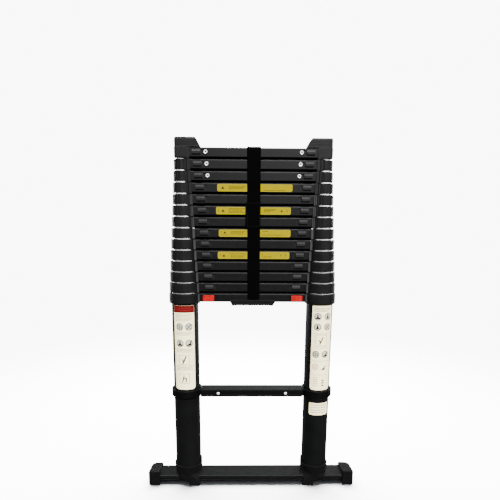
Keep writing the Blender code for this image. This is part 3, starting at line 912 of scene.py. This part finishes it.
def make_end_cap(word, side):
    """A rubber cup over the bar's end: a top that slopes back, with a raised rim and a screw in a well."""
    low, high = node_box(f"end_cap_{word}")
    back_height = 39.0
    slope = (back_height - high.z) / (high.y - low.y)

    def top_height(v, drop):
        """The height of the sloping top at v, with drop taken off."""
        return high.z - drop + slope * (v - low.y)

    rings = []
    for height, inset in ((0.0, 1.6), (1.2, 0.4), (8.6, 0.1), (9.0, 0.7), (9.8, 0.7), (10.2, 0.0)):
        rings.append(level(end_cap_plan(low, high, side, inset), height))
    for drop, inset in ((2.4, 0.0), (0.9, 0.5), (0.1, 1.5), (0.0, 2.8), (0.7, 3.5)):
        rings.append([(u, v, top_height(v, drop)) for u, v in end_cap_plan(low, high, side, inset)])
    shape = bmesh.new()
    add_loft(shape, rings)
    x = side * ((abs(low.x) + abs(high.x)) / 2 - 1.4)
    place = upright(x, top_height(2.0, 0.7), 2.0)
    rim = [(3.7, -0.5), (6.2, -0.5), (6.0, 0.6), (5.0, 1.0), (3.9, 0.6)]
    add_turned(shape, rim, place, 32, loop=True)
    make_piece(f"end_cap_cup_{word}", shape, [cap_rubber], "base", [f"end_cap_{word}"])
    screw = bmesh.new()
    add_stud(screw, place, (3.9, -0.4), (3.9, 0.1), 24, 0)
    head = [(AXIS, 0.0), (1.6, 0.0), (1.4, 0.35), (AXIS, 0.4)]
    add_turned(screw, head, place, 20, material=1)
    make_piece(f"end_cap_screw_{word}", screw, [boot_rubber, dark_metal_and_recess_shade], "base")


def add_boot_body(shape, side):
    """The stem of a boot, which narrows from the cup down to the foot; its places are from the tube."""
    rings = []
    for height, inner, outer, half_depth, power in (
        (46.0, -42.0, 42.0, 42.0, 2.0), (38.0, -42.0, 41.0, 41.8, 2.2), (33.0, -40.0, 37.5, 41.2, 3.0),
        (26.0, -39.4, 31.5, 41.0, 5.0), (19.0, -39.4, 20.0, 41.0, 7.0), (11.5, -39.4, 0.0, 41.0, 9.0),
        (9.6, -39.4, -4.4, 41.0, 9.0),
    ):
        plan = superellipse((inner + outer) / 2, (outer - inner) / 2, half_depth, power, 72)
        rings.append(level(mirrored(side, [(TUBE_X + u, v) for u, v in plan]), height))
    add_loft(shape, rings)
    foot = rounded(rectangle(163.0, -41.0, 198.0, 41.0), 2.5)
    add_prism(shape, mirrored(side, foot), 0.0, 11.0, along_z, 0.9)


def add_boot_tongue(shape, side, top, bore):
    """The tongue that stands up from the cup on the tube's inner side, with a rounded end."""
    radius, foot = BOOT_RADIUS, BOOT_FLOOR + 5
    columns = 12
    rings = []
    for column in range(columns + 1):
        share = 2 * column / columns - 1
        angle = math.pi + math.radians(17.0) * share
        crown = top - 5.0 * share ** 4
        ring = []
        for distance, height in (
            (bore, foot), (radius - 0.2, foot), (radius - 0.4, crown - 3.0),
            (radius - 1.4, crown - 0.6), (bore + 0.8, crown), (bore, crown - 1.0),
        ):
            ring.append((side * (TUBE_X + distance * math.cos(angle)), distance * math.sin(angle), height))
        rings.append(ring)
    add_loft(shape, rings)


def make_boot(word, side):
    """The rubber socket of a base tube: a rimmed cup over a stem with a foot, and a tongue inside."""
    bore = tube_radius(0) + 0.2
    wall = BOOT_RADIUS - 0.6
    cup = [(bore, BOOT_FLOOR), (wall - 2.4, BOOT_FLOOR), (wall, BOOT_FLOOR + 7.0)]
    cup += [(wall, BOOT_RIM - 7.0), (BOOT_RADIUS, BOOT_RIM - 6.0)]
    cup += corner_arc(BOOT_RADIUS - 1.4, BOOT_RIM - 1.4, 1.4, 0, 90, 3)
    cup += [(bore + 1.2, BOOT_RIM), (bore, BOOT_RIM - 1.4)]
    shape = bmesh.new()
    add_turned(shape, cup, upright(side * TUBE_X), 120, loop=True)
    add_boot_body(shape, side)
    add_boot_tongue(shape, side, node_box(f"tube_boot_{word}")[1].z, bore)
    make_piece(f"boot_{word}", shape, [boot_rubber], "base", [f"tube_boot_{word}"])


# The strap

def strap_line(low, high, thickness):
    """The middle of the webbing, up the front, over the top rung and down the back, as (y, z) points."""
    reach, crest = high.y - thickness / 2, high.z - thickness / 2
    bend = 3.0
    rise = crest - bend - low.z
    steps = 40
    line = [(-reach, low.z + rise * step / steps) for step in range(steps)]
    line += corner_arc(-reach + bend, crest - bend, bend, 180, 90, 6)
    line += corner_arc(reach - bend, crest - bend, bend, 90, 0, 6)
    return line + [(reach, crest - bend - rise * step / steps) for step in range(1, steps + 1)]


def strap_section(left, right, thickness):
    """A flat band's cross-section, with round selvedges."""
    half = thickness / 2
    columns = 8
    places = [left + half + (right - left - 2 * half) * column / columns for column in range(columns + 1)]
    outline = [(u, half) for u in places] + [(right, 0.0)]
    return outline + [(u, -half) for u in reversed(places)] + [(left, 0.0)]


def make_strap():
    """Woven webbing folded over the top rung, closed by a hook-and-loop flap on its front."""
    low, high = node_box("strap")
    thickness = 1.5
    line = strap_line(low, high, thickness)
    rings = []
    for index, (y, z) in enumerate(line):
        before = Vector(line[max(0, index - 1)])
        after = Vector(line[min(len(line) - 1, index + 1)])
        along = (after - before).normalized()
        share = (z - low.z) / (high.z - thickness / 2 - low.z)
        ripple = 0.25 * math.sin(z * 0.095)
        outline = strap_section(-15.2 - 3.4 * share, 20.0, thickness)
        ring = []
        for x, lift in outline:
            ring.append((x, y - along.y * (lift + ripple), z + along.x * (lift + ripple)))
        rings.append(ring)
    shape = bmesh.new()
    add_loft(shape, rings)
    add_flap(shape, -high.y)
    make_piece("strap_webbing", shape, [strap_web, thread], "strap", ["strap"], 60)


def add_flap(shape, front):
    """The doubled end of the strap with its sewn outline."""
    top, bottom = 875.6, 804.2
    left, right = -22.3, 20.6
    corners = [(left, bottom + 4), (left + 4, bottom), (right, bottom), (right, top), (left, top)]
    plan = rounded(corners, [1.0, 1.0, 1.5, 3.5, 3.5])
    add_prism(shape, plan, front - 1.5, front - 0.05, along_y, 0.5)
    margin = 3.0
    sewn = [
        Vector((left + margin, top - margin)), Vector((right - margin, top - margin)),
        Vector((right - margin, bottom + margin)), Vector((left + margin + 3, bottom + margin)),
    ]
    stitch, pitch = 2.4, 3.36
    for start, end in zip(sewn, sewn[1:] + sewn[:1]):
        along = (end - start).normalized()
        across = Vector((-along.y, along.x)) * 0.3
        for place in range(int((end - start).length / pitch)):
            first = start + along * (place * pitch)
            last = first + along * stitch
            outline = [first - across, last - across, last + across, first + across]
            add_prism(shape, outline, front - 1.75, front - 1.4, along_y, 0.1, 1, 1)


# Stickers. Their print is plain bars, rings and triangles, with no lettering. Each is drawn flat, with
# (u, v) measured from the middle of its top edge, or along the tread's middle line if it is yellow.

PAPER, INK = 0.12, 0.05
UNDER = PAPER - 0.01
RED, GREY, DARK, PINK, PALE = 1, 2, 3, 4, 5
flat = facing_front(0.0, 0.0, 0.0)


def add_print(shape, outline, material):
    """A thin closed patch of ink on the paper."""
    add_prism(shape, outline, UNDER, PAPER + INK, flat, material=material)


def add_frame(shape, u, v, half, width, material):
    """A printed square frame."""
    add_print(shape, rectangle(u - half, v + half - width, u + half, v + half), material)
    add_print(shape, rectangle(u - half, v - half, u + half, v - half + width), material)
    for left in (u - half, u + half - width):
        add_print(shape, rectangle(left, v - half + width, left + width, v + half - width), material)


def add_lines(shape, left, right, heights, material, width=1.5, shrink=0.08):
    """Rows of small bars where the real sticker has print."""
    for row, height in enumerate(heights):
        end = right - (right - left) * shrink * (row % 3)
        u = left
        word = 0
        while u < end - 2.0:
            stop = min(u + 3.2 + 2.4 * ((row * 5 + word * 3) % 4), end)
            add_print(shape, rectangle(u, height - width / 2, stop, height + width / 2), material)
            u = stop + 1.1
            word += 1


def add_mark(shape, u, v, outlines, material, size):
    """A plain printed figure, its outlines about (u, v)."""
    for outline in outlines:
        add_print(shape, [(u + size * a, v + size * b) for a, b in outline], material)


def add_ring(shape, u, v, radius, width, material):
    profile = rectangle(radius - width, PAPER, radius, PAPER + INK)
    add_turned(shape, profile, facing_front(u, 0.0, v), 32, loop=True, material=material)


def add_ringed_mark(shape, u, v, outlines, radius, width, size, material=DARK):
    """A figure in a ring, over a pale grey disc."""
    disc = circle(u, v, radius - width + 0.1)
    add_prism(shape, disc, UNDER, PAPER + 0.4 * INK, flat, material=PALE)
    add_ring(shape, u, v, radius, width, material)
    add_mark(shape, u, v, outlines, DARK, size)


def wrap(shape, side, angle, top):
    """Bends a flat sticker around a base tube, its middle at angle from the front, its top edge at top."""
    radius = tube_radius(0) + 0.08
    step = 2.5
    count = int(math.tau / 4 * radius / step)
    for index in range(-count, count + 1):
        geometry = [*shape.verts, *shape.edges, *shape.faces]
        cut = (index * step * MM, 0, 0)
        bmesh.ops.bisect_plane(shape, geom=geometry, plane_co=cut, plane_no=(1, 0, 0))
    for vert in shape.verts:
        u, y, v = vert.co / MM
        turn = angle + u / radius
        reach = radius - y
        vert.co = Vector((side * TUBE_X + reach * math.sin(turn), -reach * math.cos(turn), top + v)) * MM


LADDER_MARK = (
    rectangle(-5.5, -6.5, -4.0, 6.5), rectangle(-0.5, -6.5, 1.0, 6.5), rectangle(-4.0, -3.6, -0.5, -2.2),
    rectangle(-4.0, 1.4, -0.5, 2.8), rectangle(3.0, -5.5, 5.2, 3.5),
)
CROSSED_MARK = (
    ((-6.5, -5.0), (-4.8, -6.4), (6.5, 5.0), (4.8, 6.4)),
    ((-5.6, 3.6), (-4.4, 5.0), (-1.0, 1.6), (-2.2, 0.2)),
    ((2.0, -1.4), (5.8, -5.2), (4.6, -6.6), (0.8, -2.8)),
)
STOOD_MARK = ((
    (-7.0, -6.0), (7.0, -6.0), (5.6, -2.8), (2.0, -1.4), (1.6, 5.5), (-1.8, 5.5), (-2.2, -1.4), (-5.6, -2.8),
),)
SLIPPED_MARK = (((-6.5, -6.0), (6.5, -6.0), (4.4, -1.2), (6.6, 4.6), (4.0, 6.0), (0.4, -0.8), (-4.4, -3.2)),)
LEANT_MARK = (
    ((-5.0, -9.0), (-1.6, -9.0), (5.8, 8.0), (3.2, 9.4)),
    ((-6.5, 0.6), (-4.6, 2.4), (-0.8, -2.2), (-2.2, -4.4)),
)
STEPPED_MARK = (
    ((-6.0, -8.0), (-3.2, -8.0), (0.4, 7.0), (-1.8, 8.2)),
    ((1.6, -8.0), (4.6, -8.0), (5.2, 2.0), (3.0, 3.0)),
    ((-1.4, 1.0), (-0.6, 3.6), (2.8, 0.2), (2.4, -2.0)),
)
POINTED_MARK = (((-5.0, -5.5), (5.0, -5.5), (2.2, -1.0), (0.6, 6.0), (-1.4, 6.0), (-2.4, -1.0)),)


def start_label(half_width, height, radii, steps):
    """A white sticker's paper, with its top edge at 0."""
    shape = bmesh.new()
    plan = rounded(rectangle(-half_width, -height, half_width, 0.0), radii, steps)
    add_prism(shape, plan, 0.0, PAPER, flat)
    return shape


def make_left_label():
    """A red heading, then rings and frames with plain figures, between rows of bars."""
    half_width = 32.9
    shape = start_label(half_width, 258.3, [9, 9, 3, 3], 6)
    band = rectangle(0.3 - half_width, -21.0, half_width - 0.3, -0.3)
    add_print(shape, rounded(band, [0.0, 0.0, 2.7, 2.7], 6), RED)
    for v in (-7.4, -13.4):
        line = rectangle(5 - half_width, v - 0.5, half_width - 5, v + 0.5)
        add_prism(shape, line, PAPER, PAPER + 1.5 * INK, flat, material=PINK)
    for first, rows in ((-25, 6), (-80, 3), (-132, 3), (-184, 4)):
        add_lines(shape, -25, 26, [first - 4 * row for row in range(rows)], GREY)
    for u, v, mark in (
        (-13.2, -63.8, LADDER_MARK), (14.6, -63.8, CROSSED_MARK),
        (-13.2, -113.9, STOOD_MARK), (14.6, -113.9, SLIPPED_MARK),
    ):
        add_ringed_mark(shape, u, v, mark, 11.2, 2.1, 1.2)
    for u, v, mark in ((-1.3, -164.7, LEANT_MARK), (-1.6, -223.5, STEPPED_MARK)):
        add_frame(shape, u, v, 15.3, 1.2, GREY)
        add_mark(shape, u, v, mark, DARK, 1.35)
    wrap(shape, -1, 0.0, 580.8)
    return shape


def make_right_label():
    """Rings, a frame and small marks in boxes parted by thin rules."""
    shape = start_label(32.5, 261.1, [9, 9, 3, 3], 6)
    add_lines(shape, -25, 25, [-8, -12, -16], GREY)
    for u, v, mark, material in (
        (-15.0, -32.5, STOOD_MARK, DARK), (16.0, -32.5, POINTED_MARK, GREY),
        (-15.0, -64.0, POINTED_MARK, DARK), (16.0, -64.0, CROSSED_MARK, GREY),
        (-17.5, -148.0, LADDER_MARK, GREY), (11.5, -148.0, SLIPPED_MARK, DARK),
    ):
        add_ringed_mark(shape, u, v, mark, 11.0, 2.0, 1.15, material)
    for v in (-84.0, -129.0, -169.5, -213.0):
        add_print(shape, rectangle(-27, v, 27, v + 0.9), GREY)
    for half, width in ((18.5, 1.0), (15.5, 0.6)):
        add_frame(shape, -2.6, -105.5, half, width, GREY)
    add_mark(shape, -2.6, -105.5, LEANT_MARK, DARK, 1.25)
    add_ring(shape, -17.5, -187, 9.4, 1.8, PINK)
    add_mark(shape, -17.5, -187, CROSSED_MARK, PINK, 0.8)
    add_mark(shape, 7, -190, SLIPPED_MARK, DARK, 1.1)
    for row in range(5):
        add_print(shape, rectangle(-24, -222 - 6 * row, -9, -220.4 - 6 * row), PINK)
    for row in range(3):
        add_print(shape, rectangle(3, -232 - 8 * row, 11, -227.8 - 8 * row), DARK)
    wrap(shape, 1, math.radians(7.7), 581.7)
    return shape


def make_small_label():
    """A plate with four rows of bars, under the right middle collar."""
    shape = start_label(31.4, 39.1, [6, 6, 2, 2], 5)
    add_lines(shape, -26, 25, [-7, -15, -23, -31], 1, 2.4, 0.03)
    wrap(shape, 1, math.radians(6.0), 278.1)
    return shape


# For each yellow sticker: its section and ends, its triangles (u, v, size), its rows of bars
# (left, right, heights, and how much the rows shrink) and its single bars (left, low, right, high)
YELLOW_LABELS = (
    (10, -101.6, 109.7, [(-86.1, 0, 4.4)],
     [(-68.6, -22, (4.2, 0.8, -2.6), 0.08), (28, 89.7, (-6.4,), 0.08)], []),
    (8, -105.5, 106.5, [(-86.0, 0, 4.2), (80.5, 0, 3.4)],
     [(-70.5, -24, (6, 2.2, -1.6, -5.4), 0.08), (30, 66.5, (4.6, 1.2, -2.2), 0.2)],
     [(-98.5, -3, -97.3, 3), (95.5, -2.6, 96.9, 2.6)]),
    (6, -98.1, 107.3, [(-81.1, 2, 3.8)],
     [(-64.1, -22, (5, 1.4, -2.2), 0.08), (27, 42, (5.6,), 0.08), (25, 85.3, (-4.6,), 0.08)],
     [(-92.1, 1, -90.9, 5), (-92.1, -4.6, -72.1, -3.8)]),
    (4, -101.5, 105.3, [(-84.0, -1, 4.0)],
     [(-65.5, -21, (4.4, -1.6, -5.0), 0.08), (27, 55, (-4.2,), 0.08)],
     [(-95.5, -2.4, -94.3, 2.6), (27, 0, 28.2, 4), (80.3, -2, 81.7, 3), (93.3, -2, 94.7, 3)]),
)


def make_yellow_label(section, left, right, triangles, rows, bars):
    """A yellow sticker along a tread's front, with a paler edge and dark print."""
    high = rung_top(section) - 3.7
    low = high - 19.9
    shape = bmesh.new()
    edge = rounded(rectangle(left, low, right, high), 4.0, 5)
    add_prism(shape, edge, 0.0, PAPER, flat)
    field = rounded(rectangle(left + 1.1, low + 1.1, right - 1.1, high - 1.1), 3.0, 5)
    add_prism(shape, field, UNDER, PAPER + 0.02, flat, material=1)
    middle = (high + low) / 2
    for u, v, size in triangles:
        foot = middle + v - 0.75 * size
        add_print(shape, [(u - size, foot), (u + size, foot), (u, middle + v + 0.95 * size)], 2)
    for row_left, row_right, heights, shrink in rows:
        add_lines(shape, row_left, row_right, [middle + v for v in heights], 2, 1.2, shrink)
    for bar_left, bar_low, bar_right, bar_high in bars:
        add_print(shape, rectangle(bar_left, middle + bar_low, bar_right, middle + bar_high), 2)
    bmesh.ops.translate(shape, verts=shape.verts, vec=(0.0, -(RUNG_HALF_DEPTH + 0.05) * MM, 0.0))
    inks = [pale_yellow, yellow_paper, dark_ink]
    make_piece(f"label_{section:02d}", shape, inks, f"section_{section:02d}")


def make_labels():
    inks = [white_paper, red_ink, grey_ink, dark_ink, pink_ink, pale_grey]
    make_piece("label_left", make_left_label(), inks, "base")
    make_piece("label_right", make_right_label(), inks, "base")
    make_piece("label_small", make_small_label(), [white_paper, grey_ink], "base")
    for label in YELLOW_LABELS:
        make_yellow_label(*label)


# Stage, lights and camera. Their places are in metres.

def make_stage():
    """A pale floor that fades out into the white around it."""
    shape = bmesh.new()
    shape.faces.new([shape.verts.new((u, v, 0.0)) for u, v in circle(0.0, 0.6, 3.2, 96)])
    mesh = bpy.data.meshes.new("floor")
    shape.to_mesh(mesh)
    shape.free()
    floor = bpy.data.objects.new("floor", mesh)
    bpy.context.scene.collection.objects.link(floor)
    material, tree = start_material("floor_paper")
    shader = tree.nodes["Principled BSDF"]
    look = {"Base Color": (0.86, 0.86, 0.86, 1), "Roughness": 0.9, "Specular IOR Level": 0.0}
    set_sockets(tree, shader, look)
    place = add_node(tree, "TexCoord", {}).outputs["Object"]
    length = add_node(tree, "VectorMath", {0: place}, operation="LENGTH").outputs["Value"]
    sockets = {"Value": length, "From Min": 0.7, "From Max": 2.4}
    fade = add_node(tree, "MapRange", sockets, interpolation_type="SMOOTHSTEP").outputs["Result"]
    clear = add_node(tree, "BsdfTransparent", {}).outputs["BSDF"]
    mix = add_node(tree, "MixShader", {"Fac": fade, 1: shader.outputs["BSDF"], 2: clear})
    tree.links.new(mix.outputs["Shader"], tree.nodes["Material Output"].inputs["Surface"])
    mesh.materials.append(material)
    floor.visible_diffuse = False
    floor.visible_glossy = False
    return floor


def make_world():
    """White behind everything the camera sees, and a dim grey room for reflections."""
    world = bpy.data.worlds.new("studio")
    bpy.context.scene.world = world
    world.use_nodes = True
    tree = world.node_tree
    tree.nodes.clear()
    room = add_node(tree, "Background", {"Color": (0.9, 0.95, 1.0, 1), "Strength": 0.22})
    white = add_node(tree, "Background", {"Color": (1.0, 1.0, 0.99, 1), "Strength": 9.5})
    seen = add_node(tree, "LightPath", {}).outputs["Is Camera Ray"]
    backgrounds = {1: room.outputs["Background"], 2: white.outputs["Background"]}
    mix = add_node(tree, "MixShader", {"Fac": seen, **backgrounds})
    add_node(tree, "OutputWorld", {"Surface": mix.outputs["Shader"]})


def reach_floor(thing, floor, state):
    """Makes a light reach only the floor, INCLUDE, or everything but it, EXCLUDE."""
    group = bpy.data.collections.new(f"{thing.name}_reach")
    group.objects.link(floor)
    group.collection_objects[0].light_linking.link_state = state
    thing.light_linking.receiver_collection = group


def add_light(name, kind, place, target, strength):
    light = bpy.data.lights.new(name, kind)
    light.energy = strength
    thing = bpy.data.objects.new(name, light)
    bpy.context.scene.collection.objects.link(thing)
    thing.location = place
    thing.rotation_mode = "QUATERNION"
    thing.rotation_quaternion = (Vector(target) - Vector(place)).to_track_quat("-Z", "Y")
    thing.visible_camera = False
    return thing


def make_lights(floor):
    """Softboxes so far off that they light a drawn-out ladder evenly, and a wash for the floor alone."""
    for name, place, strength, spread in (
        ("overhead", (0.1, -0.3, 3.2), 16.0, 33), ("key", (0.5, -2.6, 2.3), 10.0, 25),
        ("left", (-2.6, -2.0, 1.6), 0.95, 28), ("right", (2.6, -2.0, 1.6), 2.4, 28),
        ("back_left", (-2.4, 2.4, 1.2), 4.6, 28), ("back_right", (2.4, 2.4, 1.2), 4.6, 28),
        ("back", (0.4, 3.0, 1.2), 0.55, 28),
    ):
        softbox = add_light(name, "SUN", place, (0.0, 0.0, 0.7), strength)
        softbox.data.angle = math.radians(spread)
        reach_floor(softbox, floor, "EXCLUDE")
    wash = add_light("floor_wash", "AREA", (0.0, 1.4, 2.9), (0.0, 0.0, 0.0), 2400)
    wash.data.shape = "RECTANGLE"
    wash.data.size, wash.data.size_y = 3.8, 3.0
    reach_floor(wash, floor, "INCLUDE")


def make_camera():
    """The viewpoint: a little left of the middle, at waist height, tipped down."""
    data = bpy.data.cameras.new("camera")
    data.sensor_width = 36.0
    data.lens = 30.834
    data.shift_x = -0.00075
    data.shift_y = 0.13985
    camera = bpy.data.objects.new("camera", data)
    bpy.context.scene.collection.objects.link(camera)
    place = (-0.0294, -1.2746, 0.7929)
    pitch, yaw, roll = 0.2025, 0.0185, 0.0067
    turn = Matrix.Rotation(-yaw, 4, "Z") @ Matrix.Rotation(math.pi / 2 - pitch, 4, "X")
    camera.matrix_world = Matrix.Translation(place) @ turn @ Matrix.Rotation(roll, 4, "Z")
    bpy.context.scene.camera = camera


make_camera()
make_world()
make_lights(make_stage())
make_rung(0, "base", "base", tube_coat)
make_middle_rung()
make_handle()
make_bar()
for word, side in SIDES:
    make_end_cap(word, side)
    make_boot(word, side)
    make_top_cap(word, side)
for section in range(1, SECTIONS + 1):
    make_rung(section, f"{section:02d}", f"section_{section:02d}", bare_metal)
make_strap()
make_labels()
